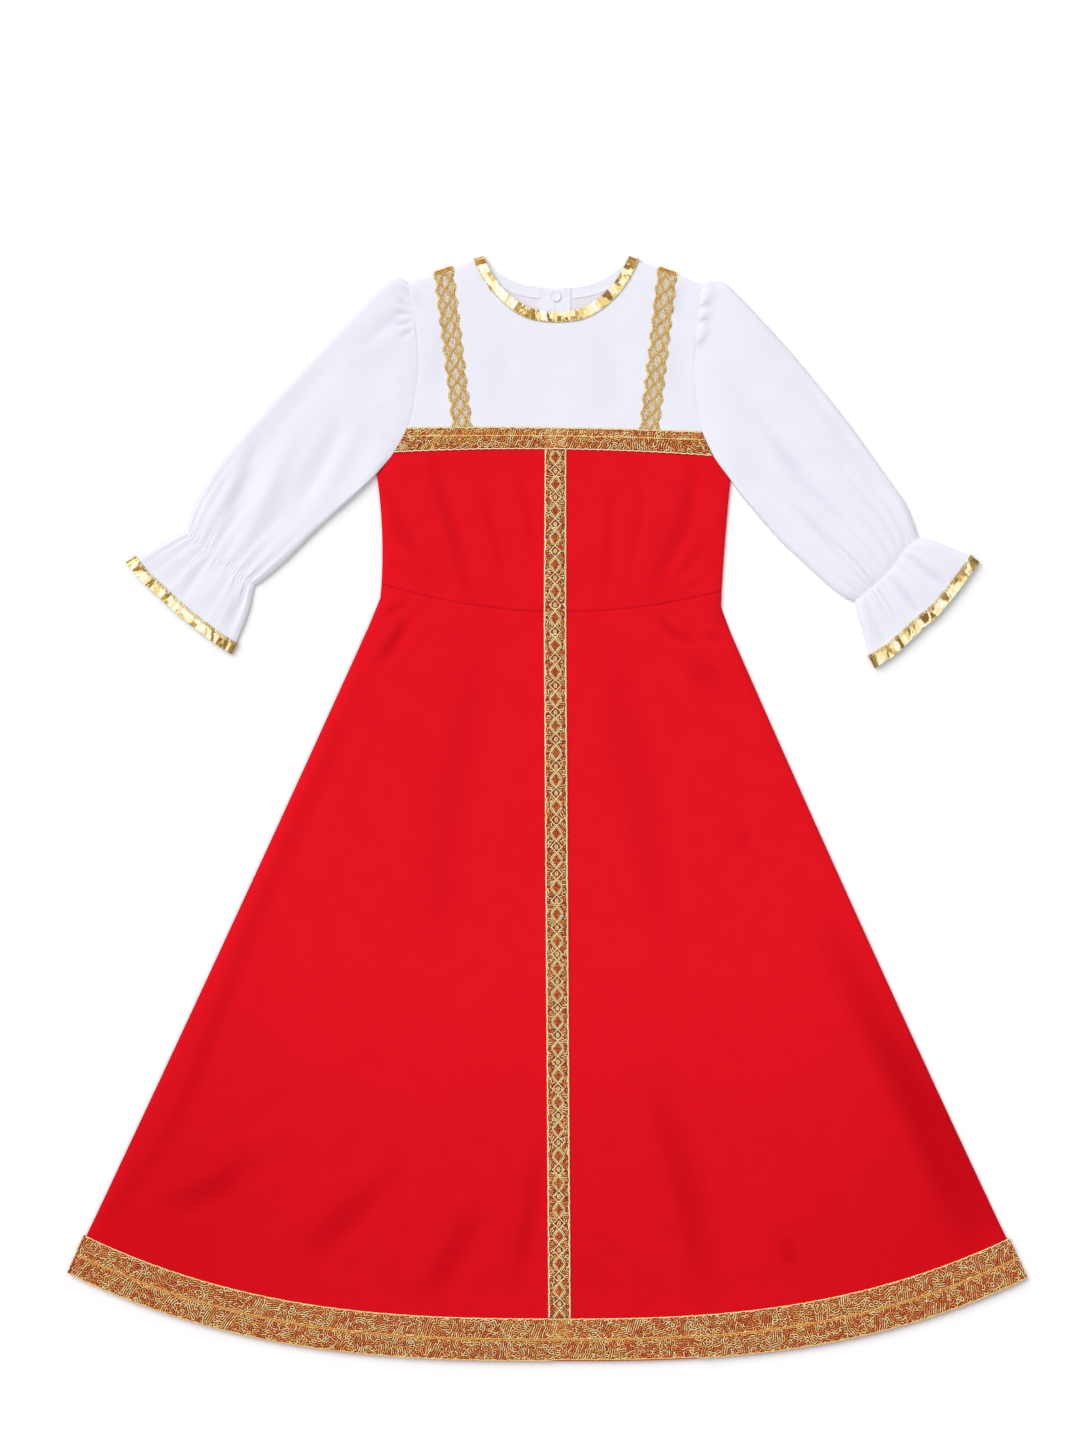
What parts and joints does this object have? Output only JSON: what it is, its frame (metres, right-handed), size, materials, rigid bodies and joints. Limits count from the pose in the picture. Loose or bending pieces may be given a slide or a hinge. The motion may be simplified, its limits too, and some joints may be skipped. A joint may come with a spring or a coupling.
{
  "type": "sarafan dress",
  "caption": "Child's red sarafan dress laid flat, with a white yoke and flared elbow sleeves, and gold braid, lace and tape at its seams, straps, neck, cuffs and hem.",
  "frame": {"origin": "middle of the laid-out dress's bounding box, on the surface it lies on", "axes": "+Y from the hem towards the neck, +X towards the viewer's right, +Z out of the dress's front"},
  "size_m": [0.8926, 1.0276, 0.0092],
  "materials": {
    "red_cloth": "soft matt plain red cloth with a faint twill",
    "white_cloth": "soft white cloth",
    "gold_braid": "woven braid of looped light gold and copper thread",
    "gold_lace": "gold lace with corded diamonds on a fine net",
    "gold_tape": "bright gold foil tape",
    "button_plastic": "white gloss"
  },
  "bodies": {
    "root": {"skirt_front": "red_cloth", "skirt_back": "red_cloth", "bodice_front": "red_cloth", "bodice_back": "red_cloth", "yoke_front": "white_cloth", "yoke_back_left": "white_cloth", "yoke_back_right": "white_cloth", "back_neck_facing_left": "white_cloth", "back_neck_facing_right": "white_cloth", "placket": "white_cloth", "button": "button_plastic", "sleeve_left": "white_cloth", "sleeve_right": "white_cloth", "cuff_tape_left": "gold_tape", "cuff_tape_right": "gold_tape", "neck_tape": "gold_tape", "strap_left": "gold_lace", "strap_right": "gold_lace", "chest_braid_front": "gold_braid", "chest_braid_back": "gold_braid", "centre_braid": "gold_braid", "hem_braid": "gold_braid"}
  },
  "joints": []
}
